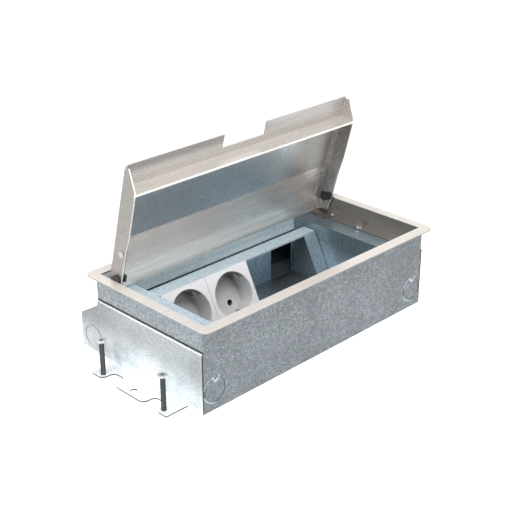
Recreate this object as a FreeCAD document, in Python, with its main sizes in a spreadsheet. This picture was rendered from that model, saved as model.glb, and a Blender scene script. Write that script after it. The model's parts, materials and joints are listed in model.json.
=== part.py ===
import FreeCAD, Part
import math
import os
import Sketcher

# Floor socket box with a hinged stainless lid
# Origin on the base plane, midway between the two fixing holes. X along the length, Y to the back.

doc = FreeCAD.newDocument("FloorSocketBox")
sheet = doc.addObject("Spreadsheet::Sheet", "Sizes")


class Size:
    """A named value, or a sum of them, kept as a number and as a sheet expression."""

    def __init__(self, value, text):
        self.value = float(value)
        self.text = text

    @staticmethod
    def of(other):
        if isinstance(other, Size):
            return other
        return Size(other, repr(float(other)))

    def __add__(self, other):
        other = Size.of(other)
        return Size(self.value + other.value, "(" + self.text + " + " + other.text + ")")

    def __sub__(self, other):
        other = Size.of(other)
        return Size(self.value - other.value, "(" + self.text + " - " + other.text + ")")

    def __mul__(self, other):
        other = Size.of(other)
        return Size(self.value * other.value, "(" + self.text + " * " + other.text + ")")

    def __truediv__(self, other):
        other = Size.of(other)
        return Size(self.value / other.value, "(" + self.text + " / " + other.text + ")")

    def __radd__(self, other):
        return Size.of(other) + self

    def __rsub__(self, other):
        return Size.of(other) - self

    def __rmul__(self, other):
        return Size.of(other) * self

    def __neg__(self):
        return Size(-self.value, "(0 - " + self.text + ")")


# Sheet metal
body_sheet = 1.0
frame_sheet = 1.2
plate_sheet = 1.2
lid_sheet = 1.0
sheet_gap = 0.1

# Body and floor frame
total_height = 69.5
frame_length = 253.0
frame_depth = 133.0
frame_corner = 5.5
flange_at_ends = 8.1
flange_at_sides = 9.1
body_overhang = 2.0
body_reach = 1.1
ledge_drop = 14.4
ledge_width = 11.0
skirt_span = 112.0
back_wall_height = 28.7
frame_screw_inset = 7.0

# Cable duct behind the body, and the end plates
duct_gap = 0.5
duct_depth = 20.0
duct_front_height = 43.0
duct_back_height = 31.0
duct_window_low = 65.0
duct_window_high = 90.6
duct_window_top = 33.0
end_plate_height = 49.0
foot_reach = 21.4
foot_half = 42.3
notch_depth = 11.5
notch_inner = 17.0
notch_outer = 30.2
notch_round = 4.5
lobe_round = 5.0
fixing_inset = 5.6
fixing_radius = 2.75

# Knock-outs for conduit
knockout_radius = 10.0
knockout_groove = 0.6
knockout_cut = 0.55
knockout_inset = 10.4
knockout_height = 16.2
duct_knockout_back = 65.3
duct_knockout_height = 14.6
floor_knockout_x = 31.2
floor_knockout_y = 41.5

# Levelling screws
level_radius = 2.0
level_clearance = 0.05
level_length = 30.0
level_head_radius = 3.8
level_head_height = 2.3
level_tip = 0.2
level_spacing = 69.2
level_inset = 4.6

# Inner end brackets and the socket carrier
shelf_length = 28.4
shelf_drop = 15.6
vent_inset = 12.8
vent_front = 34.2
vent_rear = 44.6
vent_radius = 1.3
bracket_foot = 10.0
carrier_height = 47.5
carrier_gap = 0.7
carrier_back = 44.6
carrier_fold = 32.2
carrier_tilt = 63.0
carrier_foot = 10.0
window_start = 2.8
window_end = 13.8

# Socket modules
module_size = 45.0
module_start = 5.0
module_gap = 0.3
module_margin = 1.2
face_plate = 1.8
recess_radius = 19.2
recess_depth = 17.5
recess_wall = 0.8
pin_spacing = 19.0
pin_hole_radius = 2.6
socket_turn = -45.0
collar_depth = 8.0
collar_wall = 1.2
snap_half = 6.0
snap_reach = 0.8
snap_height = 1.3
snap_below = 1.3
guide_width = 6.0
guide_height = 2.0
base_length = 27.0
base_width = 9.6
base_depth = 13.0
contact_width = 5.0
contact_grip = 4.8
contact_sheet = 1.0
contact_length = 11.0
contact_drop = 0.4
clip_width = 5.0
clip_sheet = 0.7
clip_reach = 1.8
clip_depth = 5.0
slot_below = 2.4
slot_height = 4.6
slot_side = 1.0
slot_reach = 1.9

# Lid and hinge
lid_gap_ends = 2.0
lid_gap_front = 0.5
lid_gap_back = 1.9
lid_corner = 3.0
lid_skin = 14.0
lid_open = 75.0
hinge_back = 44.6
hinge_drop = 4.7
panel_back = 38.9
flange_slant = 40.6
lid_notch_half = 22.3
lid_notch_depth = 11.6
stiffener_sheet = 0.8
stiffener_inset = 8.4
stiffener_gap = 0.3
stiffener_back = 7.5
hinge_sheet = 1.2
pin_radius = 2.0
pin_clearance = 0.05
bush_radius = 2.4
bush_head_radius = 4.1
bush_back = 38.2
bush_drop = 8.3
rivet_radius = 1.5
rivet_front = 14.6
rivet_drop = 8.9

# Small screws
screw_radius = 2.0
screw_clearance = 0.1
screw_head_radius = 3.6
screw_head_height = 1.6
screw_reach = 8.0
carrier_screw_at = 70.0
stud_radius = 2.5
stud_height = 12.0
stud_end_inset = 11.8
stud_back_inset = 28.5
nut_radius = 4.6
nut_height = 4.0
nut_clearance = 0.05
seat_clearance = 0.1

# Every size above goes into its own cell of the sheet
row_count = 0
for name, value in list(globals().items()):
    if isinstance(value, float):
        row_count += 1
        sheet.set("A%d" % row_count, name)
        sheet.set("B%d" % row_count, str(value))
        sheet.setAlias("B%d" % row_count, name)
        globals()[name] = Size(value, "Sizes." + name)

doc.recompute()

X_AXIS = FreeCAD.Vector(1, 0, 0)
Z_AXIS = FreeCAD.Vector(0, 0, 1)


def make_body(name):
    body = doc.addObject("PartDesign::Body", name)
    body.Label = name
    return body


def place(body, position, axis=X_AXIS, angle=0.0):
    values = [Size.of(value) for value in position]
    body.Placement = FreeCAD.Placement(
        FreeCAD.Vector(*[value.value for value in values]),
        FreeCAD.Rotation(axis, angle),
    )
    for letter, value in zip("xyz", values):
        body.setExpression("Placement.Base." + letter, value.text)


def origin_plane(body, plane):
    for feature in body.Origin.OriginFeatures:
        if feature.Role == plane + "_Plane":
            return feature
    raise ValueError(plane)


sketch_count = 0


def make_sketch(body, plane, level=0.0):
    """A sketch on an origin plane of the body, shifted along the plane's normal."""
    global sketch_count
    sketch_count += 1
    sketch = body.newObject("Sketcher::SketchObject", body.Name + "_sketch%d" % sketch_count)
    sketch.AttachmentSupport = (origin_plane(body, plane), [""])
    sketch.MapMode = "FlatFace"
    level = Size.of(level)
    sketch.AttachmentOffset = FreeCAD.Placement(
        FreeCAD.Vector(0, 0, level.value), FreeCAD.Rotation()
    )
    sketch.setExpression("AttachmentOffset.Base.z", level.text)
    return sketch


def pin_point(sketch, geometry, place_on, point):
    """Fix one sketch point at a named distance from the origin."""
    for kind, value in zip(("DistanceX", "DistanceY"), point):
        value = Size.of(value)
        index = sketch.addConstraint(
            Sketcher.Constraint(kind, -1, 1, geometry, place_on, value.value)
        )
        sketch.setExpression("Constraints[%d]" % index, value.text)


def add_polygon(sketch, points):
    """Closed outline of straight edges, each corner fixed by two named distances."""
    corners = [(Size.of(a), Size.of(b)) for a, b in points]
    count = len(corners)
    first = sketch.GeometryCount
    for index in range(count):
        start = corners[index]
        end = corners[(index + 1) % count]
        sketch.addGeometry(
            Part.LineSegment(
                FreeCAD.Vector(start[0].value, start[1].value, 0),
                FreeCAD.Vector(end[0].value, end[1].value, 0),
            ),
            False,
        )
    for index in range(count):
        follower = first + (index + 1) % count
        sketch.addConstraint(
            Sketcher.Constraint("Coincident", first + index, 2, follower, 1)
        )
    for index in range(count):
        pin_point(sketch, first + index, 1, corners[index])


def add_rectangle(sketch, low_x, low_y, high_x, high_y):
    add_polygon(sketch, [(low_x, low_y), (high_x, low_y), (high_x, high_y), (low_x, high_y)])


def add_circle(sketch, centre, radius):
    middle = [Size.of(value) for value in centre]
    radius = Size.of(radius)
    index = sketch.addGeometry(
        Part.Circle(FreeCAD.Vector(middle[0].value, middle[1].value, 0), Z_AXIS, radius.value),
        False,
    )
    number = sketch.addConstraint(Sketcher.Constraint("Radius", index, radius.value))
    sketch.setExpression("Constraints[%d]" % number, radius.text)
    pin_point(sketch, index, 3, middle)


def pad(body, sketch, length):
    """Raise the sketch along its normal and make it part of the body."""
    length = Size.of(length)
    feature = body.newObject("PartDesign::Pad", body.Name + "_pad%d" % sketch_count)
    feature.Profile = sketch
    feature.Length = length.value
    feature.setExpression("Length", length.text)
    body.Tip = feature
    doc.recompute()
    return feature


def pocket(body, sketch, length):
    """Cut along the sketch's normal, and check that the cut took material away."""
    length = Size.of(length)
    before = body.Shape.Volume
    feature = body.newObject("PartDesign::Pocket", body.Name + "_cut%d" % sketch_count)
    feature.Profile = sketch
    feature.Reversed = True
    feature.Length = length.value
    feature.setExpression("Length", length.text)
    body.Tip = feature
    doc.recompute()
    if body.Shape.Volume >= before - 1e-6:
        raise ValueError("no material cut in " + body.Name)
    return feature


def block(body, low, high, cut=False):
    """A box between two corners, added to the body or cut from it."""
    sketch = make_sketch(body, "XY", low[2])
    add_rectangle(sketch, low[0], low[1], high[0], high[1])
    height = Size.of(high[2]) - Size.of(low[2])
    if cut:
        return pocket(body, sketch, height)
    return pad(body, sketch, height)


def round_edges(body, radius, wanted):
    """Round the upright edges that stand at the wanted places."""
    shape = body.Shape
    names = []
    for number, edge in enumerate(shape.Edges, 1):
        if len(edge.Vertexes) != 2:
            continue
        start, end = [vertex.Point for vertex in edge.Vertexes]
        upright = abs(start.x - end.x) < 1e-4 and abs(start.y - end.y) < 1e-4
        near = any(math.hypot(start.x - x, start.y - y) < 0.05 for x, y in wanted)
        if upright and near:
            names.append("Edge%d" % number)
    radius = Size.of(radius)
    base = body.Tip
    feature = body.newObject("PartDesign::Fillet", body.Name + "_round%d" % len(doc.Objects))
    feature.Base = (base, names)
    feature.Radius = radius.value
    feature.setExpression("Radius", radius.text)
    body.Tip = feature
    doc.recompute()
    return feature


def knockout(body, plane, level, centre, along_normal):
    """A punched disc held by its thin rest and two nicked tabs at the top."""
    sketch = make_sketch(body, plane, level)
    add_circle(sketch, centre, knockout_radius)
    add_circle(sketch, centre, knockout_radius - knockout_groove)
    before = body.Shape.Volume
    feature = body.newObject("PartDesign::Pocket", body.Name + "_knockout%d" % sketch_count)
    feature.Profile = sketch
    feature.Reversed = along_normal
    feature.Length = knockout_cut.value
    feature.setExpression("Length", knockout_cut.text)
    body.Tip = feature
    doc.recompute()
    if body.Shape.Volume >= before - 1e-6:
        raise ValueError("knock-out missed " + body.Name)


# Heights that follow from the named sizes
frame_under = total_height - frame_sheet
wall_top = frame_under
opening_length = frame_length - flange_at_ends * 2
opening_depth = frame_depth - flange_at_sides * 2
half_length = opening_length / 2 + lid_sheet + body_overhang
half_depth = opening_depth / 2 + body_reach
wall_inside = half_length - body_sheet
plate_inside = half_length + sheet_gap
plate_outside = plate_inside + plate_sheet
foot_edge = half_length + foot_reach
fixing_x = foot_edge - fixing_inset
level_x = foot_edge - level_inset
stud_x = half_length - stud_end_inset
stud_y = half_depth - stud_back_inset
skirt_inside = opening_length / 2
skirt_outside = skirt_inside + lid_sheet
ledge_inside = skirt_inside - ledge_width
ledge_top = total_height - ledge_drop
shelf_top = total_height - shelf_drop
frame_screw_x = skirt_inside - frame_screw_inset
bracket_face = wall_inside - shelf_length
carrier_half = bracket_face - carrier_gap
window_left = carrier_half - window_start
window_right = carrier_half - window_end
module_first = -window_left + module_start + module_size / 2
lid_half = skirt_inside - lid_gap_ends
lid_front = opening_depth / 2 - lid_gap_front
lid_back = opening_depth / 2 - lid_gap_back
stiffener_half = lid_half - stiffener_inset

# Housing: the deep-folded galvanised tray
housing = make_body("housing")
block(housing, (-half_length, -half_depth, 0), (half_length, half_depth, body_sheet))
block(housing, (-half_length, -half_depth, 0), (half_length, body_sheet - half_depth, wall_top))
block(housing, (-half_length, -half_depth, 0), (body_sheet - half_length, half_depth, wall_top))
block(housing, (wall_inside, -half_depth, 0), (half_length, half_depth, wall_top))
block(
    housing,
    (-half_length, half_depth - body_sheet, total_height - back_wall_height),
    (half_length, half_depth, wall_top),
)
for side in (-1, 1):
    knockout(
        housing,
        "XZ",
        half_depth,
        (side * (half_length - knockout_inset), knockout_height),
        False,
    )
knockout(housing, "XY", body_sheet, (floor_knockout_x, floor_knockout_y), False)
carrier_run = (carrier_height - body_sheet * 2) / math.tan(math.radians(carrier_tilt.value))
carrier_screw_y = carrier_fold - carrier_run - carrier_foot / 2
foot_holes = make_sketch(housing, "XY", 0)
for side in (-1, 1):
    add_circle(
        foot_holes,
        (side * carrier_screw_at, carrier_screw_y),
        screw_radius + screw_clearance,
    )
pocket(housing, foot_holes, body_sheet)

# Cable duct: a closed channel with a sloping roof behind the body
duct_y = half_depth + duct_gap
duct_end = duct_y + duct_depth
duct = make_body("cable_duct")
outline = make_sketch(duct, "YZ", -half_length + sheet_gap)
add_polygon(
    outline,
    [(duct_y, 0), (duct_end, 0), (duct_end, duct_back_height), (duct_y, duct_front_height)],
)
add_polygon(
    outline,
    [
        (duct_y + body_sheet, body_sheet),
        (duct_end - body_sheet, body_sheet),
        (duct_end - body_sheet, duct_back_height - body_sheet * 0.6),
        (duct_y + body_sheet, duct_front_height - body_sheet * 1.75),
    ],
)
pad(duct, outline, (half_length - sheet_gap) * 2)
for low, high in ((duct_window_low, duct_window_high), (-duct_window_high, -duct_window_low)):
    block(
        duct,
        (low, duct_y - 1, body_sheet),
        (high, duct_y + body_sheet + 1, duct_window_top),
        cut=True,
    )

# End plates with their three-lobed feet
for side, name in ((-1, "end_plate_left"), (1, "end_plate_right")):
    plate = make_body(name)
    if side < 0:
        level = -plate_outside
    else:
        level = plate_inside
    outline = make_sketch(plate, "YZ", level)
    add_polygon(
        outline,
        [
            (-half_depth, 0),
            (duct_end + 0.3, 0),
            (duct_end + 0.3, duct_back_height + 0.3),
            (duct_y + 0.2, duct_front_height + 0.5),
            (half_depth - 0.6, duct_front_height + 0.5),
            (half_depth - 0.6, end_plate_height),
            (-half_depth, end_plate_height),
        ],
    )
    pad(plate, outline, plate_sheet)
    foot = make_sketch(plate, "XY", 0)
    inner = side * plate_inside
    edge = side * foot_edge
    notch_end = side * (foot_edge - notch_depth)
    add_polygon(
        foot,
        [
            (inner, -foot_half),
            (edge, -foot_half),
            (edge, -notch_outer),
            (notch_end, -notch_outer),
            (notch_end, -notch_inner),
            (edge, -notch_inner),
            (edge, notch_inner),
            (notch_end, notch_inner),
            (notch_end, notch_outer),
            (edge, notch_outer),
            (edge, foot_half),
            (inner, foot_half),
        ],
    )
    pad(plate, foot, plate_sheet)
    deep = [
        (notch_end.value, sign * size.value)
        for sign in (-1, 1)
        for size in (notch_inner, notch_outer)
    ]
    round_edges(plate, notch_round, deep)
    lobes = [
        (edge.value, sign * size.value)
        for sign in (-1, 1)
        for size in (notch_inner, notch_outer)
    ]
    round_edges(plate, lobe_round, lobes)
    holes = make_sketch(plate, "XY", 0)
    add_circle(holes, (side * fixing_x, 0), fixing_radius)
    for sign in (-1, 1):
        add_circle(
            holes,
            (side * level_x, sign * (level_spacing / 2)),
            level_radius + level_clearance,
        )
    pocket(plate, holes, plate_sheet)
    if side < 0:
        knockout(plate, "YZ", level, (duct_knockout_back, duct_knockout_height), True)
    else:
        knockout(plate, "YZ", level + plate_sheet, (duct_knockout_back, duct_knockout_height), False)

# Inner end brackets: a shelf under the floor frame's ledge, a wall and a foot
bracket_half = half_depth - body_sheet - 0.3
shelf_end = wall_inside - sheet_gap
for side, name in ((-1, "end_bracket_left"), (1, "end_bracket_right")):
    bracket = make_body(name)
    profile = make_sketch(bracket, "XZ", -bracket_half)
    add_polygon(
        profile,
        [
            (side * shelf_end, shelf_top),
            (side * bracket_face, shelf_top),
            (side * bracket_face, body_sheet),
            (side * (bracket_face + bracket_foot), body_sheet),
            (side * (bracket_face + bracket_foot), body_sheet * 2),
            (side * (bracket_face + body_sheet), body_sheet * 2),
            (side * (bracket_face + body_sheet), shelf_top - body_sheet),
            (side * shelf_end, shelf_top - body_sheet),
        ],
    )
    pad(bracket, profile, bracket_half * 2)
    holes = make_sketch(bracket, "XY", shelf_top - body_sheet)
    add_circle(holes, (side * frame_screw_x, 0), screw_radius + screw_clearance)
    for back in (vent_front, vent_rear):
        add_circle(holes, (side * (skirt_inside - vent_inset), back), vent_radius)
    pocket(bracket, holes, body_sheet)

# Socket carrier: flange, inclined face with one long window, and foot
tilt = math.radians(carrier_tilt.value)
slope_y = math.cos(tilt)
slope_z = math.sin(tilt)
flange_top = carrier_height
foot_top = body_sheet * 2
run = carrier_run
bend_shift = body_sheet * ((1 - slope_y) / slope_z)
carrier = make_body("socket_carrier")
profile = make_sketch(carrier, "YZ", -carrier_half)
add_polygon(
    profile,
    [
        (carrier_back, flange_top),
        (carrier_fold, flange_top),
        (carrier_fold - run, foot_top),
        (carrier_fold - run - carrier_foot, foot_top),
        (carrier_fold - run - carrier_foot, body_sheet),
        (carrier_fold - run + bend_shift, body_sheet),
        (carrier_fold + bend_shift, flange_top - body_sheet),
        (carrier_back, flange_top - body_sheet),
    ],
)
pad(carrier, profile, carrier_half * 2)
window = make_sketch(carrier, "XY", 0)
window.AttachmentOffset = FreeCAD.Placement(
    FreeCAD.Vector(0, carrier_fold.value, flange_top.value),
    FreeCAD.Rotation(X_AXIS, carrier_tilt.value),
)
window.setExpression("AttachmentOffset.Base.y", carrier_fold.text)
window.setExpression("AttachmentOffset.Base.z", flange_top.text)
window.setExpression("AttachmentOffset.Rotation.Angle", carrier_tilt.text)
add_rectangle(
    window, -window_left, module_margin - module_size, window_right, -module_margin
)
cut = carrier.newObject("PartDesign::Pocket", "socket_carrier_window")
cut.Profile = window
cut.Length = 2.5
carrier.Tip = cut
doc.recompute()
holes = make_sketch(carrier, "XY", 0)
for side in (-1, 1):
    add_circle(
        holes,
        (side * carrier_screw_at, carrier_screw_y),
        screw_radius + screw_clearance,
    )
pocket(carrier, holes, foot_top + 1)

# Floor frame: flat ring, two end skirts and the ledges the lid rests on
frame = make_body("floor_frame")
ring = make_sketch(frame, "XY", frame_under)
add_rectangle(ring, -frame_length / 2, -frame_depth / 2, frame_length / 2, frame_depth / 2)
add_rectangle(
    ring, -opening_length / 2, -opening_depth / 2, opening_length / 2, opening_depth / 2
)
pad(frame, ring, frame_sheet)
round_edges(
    frame,
    frame_corner,
    [
        (x * frame_length.value / 2, y * frame_depth.value / 2)
        for x in (-1, 1)
        for y in (-1, 1)
    ],
)
for side in (-1, 1):
    low, high = sorted((side * skirt_inside, side * skirt_outside), key=lambda item: item.value)
    block(
        frame,
        (low, -skirt_span / 2, ledge_top - lid_sheet),
        (high, skirt_span / 2, frame_under),
    )
    low, high = sorted((side * ledge_inside, side * skirt_outside), key=lambda item: item.value)
    block(
        frame,
        (low, -skirt_span / 2, ledge_top - lid_sheet),
        (high, skirt_span / 2, ledge_top),
    )
holes = make_sketch(frame, "XY", ledge_top - lid_sheet)
for side in (-1, 1):
    add_circle(holes, (side * frame_screw_x, 0), screw_radius + screw_clearance)
pocket(frame, holes, lid_sheet)
holes = make_sketch(frame, "YZ", -skirt_outside)
add_circle(holes, (hinge_back, total_height - hinge_drop), pin_radius + pin_clearance)
pocket(frame, holes, skirt_outside * 2)

# Lid, drawn closed about the hinge axis and then turned open
hinge_point = (0, hinge_back, total_height - hinge_drop)


def hang(body):
    """Put a piece drawn on the closed lid at the hinge, turned open."""
    place(body, hinge_point, FreeCAD.Vector(-1, 0, 0), lid_open.value)
    body.setExpression("Placement.Rotation.Angle", lid_open.text)


lid_top = hinge_drop
lid_under = lid_top - lid_sheet
lid_edge = -lid_front - hinge_back
panel_face = -panel_back - hinge_back
lid = make_body("lid_cover")
block(lid, (-lid_half, lid_edge, lid_under), (lid_half, lid_back - hinge_back, lid_top))
block(
    lid,
    (-lid_half, panel_face, lid_top - lid_skin),
    (lid_half, panel_face + lid_sheet, lid_under),
)
corner_points = [(side * lid_half.value, lid_edge.value) for side in (-1, 1)]
round_edges(lid, lid_corner, corner_points)
flange_points = [
    (lid_edge + lid_corner, lid_under),
    (lid_edge + 0.8, lid_top - 3.9),
    (-flange_slant - hinge_back - 1.6, lid_top - lid_skin + 1.2),
    (-flange_slant - hinge_back + 1.0, lid_top - lid_skin),
    (-hinge_back - 5.0, lid_top - lid_skin),
    (-hinge_back + 11.0, lid_top - lid_skin + 1.2),
    (-6.6, lid_top - lid_skin + 1.6),
    (5.0, lid_top - lid_skin + 3.4),
    (lid_back - hinge_back - 1.1, lid_top - 2.2),
    (lid_back - hinge_back, lid_under),
]
for level in (-lid_half, lid_half - lid_sheet):
    flange = make_sketch(lid, "YZ", level)
    add_polygon(flange, flange_points)
    pad(lid, flange, lid_sheet)
block(
    lid,
    (-lid_notch_half, lid_edge - 1, lid_under - 1),
    (lid_notch_half, lid_edge + lid_notch_depth, lid_top + 1),
    cut=True,
)
rivet_point = (rivet_front - hinge_back, lid_top - rivet_drop)
bush_point = (bush_back - hinge_back, lid_top - bush_drop)


def side_holes(body, level, length):
    """The holes for the hinge pin, the friction bush and the rivet."""
    holes = make_sketch(body, "YZ", level)
    add_circle(holes, (0, 0), pin_radius + pin_clearance)
    add_circle(holes, bush_point, bush_radius + screw_clearance)
    add_circle(holes, rivet_point, rivet_radius + screw_clearance)
    pocket(body, holes, length)


side_holes(lid, -lid_half, lid_half * 2)
hang(lid)

stiffener = make_body("lid_stiffener")
block(
    stiffener,
    (-stiffener_half, panel_face + lid_sheet + stiffener_gap, lid_under - 0.05 - stiffener_sheet),
    (stiffener_half, stiffener_back - hinge_back, lid_under - 0.05),
)
hang(stiffener)

leg_outside = lid_half - lid_sheet - sheet_gap
leg_inside = leg_outside - hinge_sheet
block_outside = leg_inside - sheet_gap
for side, tag in ((-1, "left"), (1, "right")):
    leg = make_body("hinge_bracket_" + tag)
    if side < 0:
        level = -leg_outside
    else:
        level = leg_inside
    profile = make_sketch(leg, "YZ", level)
    add_polygon(
        profile,
        [
            (rivet_front - hinge_back - 5.0, lid_under - 0.2),
            (rivet_front - hinge_back - 5.0, lid_top - lid_skin + 1.5),
            (-6.6, lid_top - lid_skin + 1.9),
            (4.5, lid_top - lid_skin + 3.8),
            (6.5, -1.0),
            (6.5, lid_under - 0.2),
        ],
    )
    pad(leg, profile, hinge_sheet)
    low, high = sorted((side * (leg_outside - 8.8), side * leg_outside), key=lambda item: item.value)
    block(
        leg,
        (low, rivet_front - hinge_back - 0.8, lid_under - 0.1 - hinge_sheet),
        (high, -5.6, lid_under - 0.1),
    )
    side_holes(leg, level, hinge_sheet)
    hang(leg)

    bush = make_body("friction_bush_" + tag)
    low, high = sorted(
        (side * (block_outside - 1.6), side * block_outside), key=lambda item: item.value
    )
    profile = make_sketch(bush, "YZ", low)
    bush_y, bush_z = bush_point
    add_polygon(
        profile,
        [
            (bush_y - 2.6, lid_under - 1.6),
            (bush_y + 3.6, lid_under - 1.6),
            (bush_y + 3.6, bush_z + 0.6),
            (bush_y - 0.6, bush_z - 5.3),
            (bush_y - 6.0, bush_z - 5.3),
            (bush_y - 6.0, bush_z - 1.4),
        ],
    )
    pad(bush, profile, high - low)
    stack = (
        (block_outside, lid_half + sheet_gap, bush_radius),
        (lid_half + sheet_gap, skirt_inside - sheet_gap, bush_head_radius),
    )
    for low, high, radius in stack:
        start, end = sorted((side * low, side * high), key=lambda item: item.value)
        disc = make_sketch(bush, "YZ", start)
        add_circle(disc, bush_point, radius)
        pad(bush, disc, end - start)
    hang(bush)


# Round pieces made from primitives
def cylinder(name, centre, radius, height, axis="Z"):
    """A cylinder from its low end, with every size tied to the sheet."""
    solid = doc.addObject("Part::Cylinder", name)
    values = [Size.of(value) for value in centre]
    radius = Size.of(radius)
    height = Size.of(height)
    turn = FreeCAD.Rotation()
    if axis == "X":
        turn = FreeCAD.Rotation(FreeCAD.Vector(0, 1, 0), 90)
    solid.Radius = radius.value
    solid.Height = height.value
    solid.setExpression("Radius", radius.text)
    solid.setExpression("Height", height.text)
    solid.Placement = FreeCAD.Placement(
        FreeCAD.Vector(*[value.value for value in values]), turn
    )
    for letter, value in zip("xyz", values):
        solid.setExpression("Placement.Base." + letter, value.text)
    return solid


def fuse(name, first, second):
    joined = doc.addObject("Part::Fuse", name)
    joined.Base = first
    joined.Tool = second
    return joined


def subtract(name, first, second):
    left = doc.addObject("Part::Cut", name)
    left.Base = first
    left.Tool = second
    return left


def group(name, members):
    gathered = doc.addObject("Part::Compound", name)
    gathered.Links = members
    gathered.Label = name
    return gathered


def pan_screw(name, x, y, seat, reach):
    """A pan-head screw whose head sits on the given height."""
    shank = cylinder(name + "_shank", (x, y, seat - reach), screw_radius, reach + 0.2)
    head = cylinder(name + "_head", (x, y, seat), screw_head_radius, screw_head_height)
    return fuse(name, shank, head)


members = []
for side, tag in ((-1, "left"), (1, "right")):
    members.append(
        pan_screw("frame_screw_" + tag, side * frame_screw_x, 0, ledge_top, screw_reach)
    )
group("frame_screws", members)
members = []
for side, tag in ((-1, "left"), (1, "right")):
    members.append(
        pan_screw(
            "carrier_screw_" + tag,
            side * carrier_screw_at,
            carrier_screw_y,
            foot_top,
            foot_top - 0.2,
        )
    )
group("carrier_screws", members)

# Levelling screws, each in its own tapped hole of a foot
for side, tag in ((-1, "left"), (1, "right")):
    for sign, end in ((-1, "front"), (1, "rear")):
        name = "level_screw_" + end + "_" + tag
        x = side * level_x
        y = sign * (level_spacing / 2)
        shank = cylinder(
            name + "_shank",
            (x, y, level_tip),
            level_radius,
            level_length - level_head_height,
        )
        cone = doc.addObject("Part::Cone", name + "_cone")
        cone.Radius1 = level_radius.value
        cone.Radius2 = level_head_radius.value
        cone.Height = level_head_height.value
        cone.setExpression("Radius1", level_radius.text)
        cone.setExpression("Radius2", level_head_radius.text)
        cone.setExpression("Height", level_head_height.text)
        base = level_tip + level_length - level_head_height
        cone.Placement.Base = FreeCAD.Vector(x.value, y.value, base.value)
        for letter, value in zip("xyz", (x, y, base)):
            cone.setExpression("Placement.Base." + letter, value.text)
        screw = fuse(name, shank, cone)
        screw.Label = name

# Hinge pins riveted into the frame's skirts, and the rivets of the lid's brackets
members = []
for side, tag in ((-1, "left"), (1, "right")):
    centre_y = hinge_back
    centre_z = total_height - hinge_drop
    tip = leg_inside - 1.4
    low = min((side * tip, side * skirt_outside), key=lambda item: item.value)
    shank = cylinder(
        "hinge_pin_shank_" + tag,
        (low, centre_y, centre_z),
        pin_radius,
        skirt_outside - tip,
        "X",
    )
    head_low = min(
        (side * skirt_outside, side * (skirt_outside + 0.8)), key=lambda item: item.value
    )
    head = cylinder(
        "hinge_pin_head_" + tag, (head_low, centre_y, centre_z), pin_radius + 1.2, 0.8, "X"
    )
    members.append(fuse("hinge_pin_" + tag, shank, head))
group("hinge_pins", members)

members = []
for side, tag in ((-1, "left"), (1, "right")):
    spans = (
        (leg_inside - 0.5, lid_half, rivet_radius),
        (lid_half, lid_half + 0.6, rivet_radius + 1.0),
    )
    pieces = []
    for index, (low, high, radius) in enumerate(spans):
        start = min((side * low, side * high), key=lambda item: item.value)
        centre = (start, rivet_point[0], rivet_point[1])
        piece_name = "rivet_%s%d" % (tag, index)
        pieces.append(cylinder(piece_name, centre, radius, high - low, "X"))
    members.append(fuse("bracket_rivet_" + tag, pieces[0], pieces[1]))
rivets = group("bracket_rivets", members)
rivets.Placement = lid.Placement

# Earthing stud with its nut
stud = cylinder("earth_stud", (stud_x, stud_y, body_sheet), stud_radius, stud_height)
stud.Label = "earth_stud"
hexagon = doc.addObject("Part::Prism", "earth_nut_hexagon")
hexagon.Polygon = 6
hexagon.setExpression("Circumradius", nut_radius.text)
hexagon.setExpression("Height", nut_height.text)
nut_low = body_sheet + seat_clearance
hexagon.Placement.Base = FreeCAD.Vector(stud_x.value, stud_y.value, nut_low.value)
for letter, value in zip("xyz", (stud_x, stud_y, nut_low)):
    hexagon.setExpression("Placement.Base." + letter, value.text)
hole = cylinder(
    "earth_nut_hole",
    (stud_x, stud_y, body_sheet),
    stud_radius + nut_clearance,
    nut_height * 2,
)
nut = subtract("earth_nut", hexagon, hole)
nut.Label = "earth_nut"

# Socket modules, drawn on the carrier's face with Z pointing out of it
collar_half = module_size / 2 - module_margin - 0.2
cup_floor = face_plate - recess_depth
cup_under = cup_floor - recess_wall
clip_angle = socket_turn + 90.0


def turned(point, angle):
    cosine = math.cos(math.radians(angle))
    sine = math.sin(math.radians(angle))
    return (
        Size.of(point[0]) * cosine - Size.of(point[1]) * sine,
        Size.of(point[0]) * sine + Size.of(point[1]) * cosine,
    )


def turned_rectangle(sketch, low, high, angle):
    corners = [(low[0], low[1]), (high[0], low[1]), (high[0], high[1]), (low[0], high[1])]
    add_polygon(sketch, [turned(corner, angle) for corner in corners])


def seat_module(item, centre_x, extra=0.0):
    """Seat a piece on the inclined face, at the middle of its module."""
    half = module_size / 2
    position = (centre_x, carrier_fold - half * slope_y, flange_top - half * slope_z)
    turn = FreeCAD.Rotation(X_AXIS, carrier_tilt.value)
    spin = FreeCAD.Rotation(Z_AXIS, extra)
    item.Placement = FreeCAD.Placement(
        FreeCAD.Vector(*[Size.of(value).value for value in position]), turn.multiply(spin)
    )
    for letter, value in zip("xyz", position):
        item.setExpression("Placement.Base." + letter, Size.of(value).text)


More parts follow.
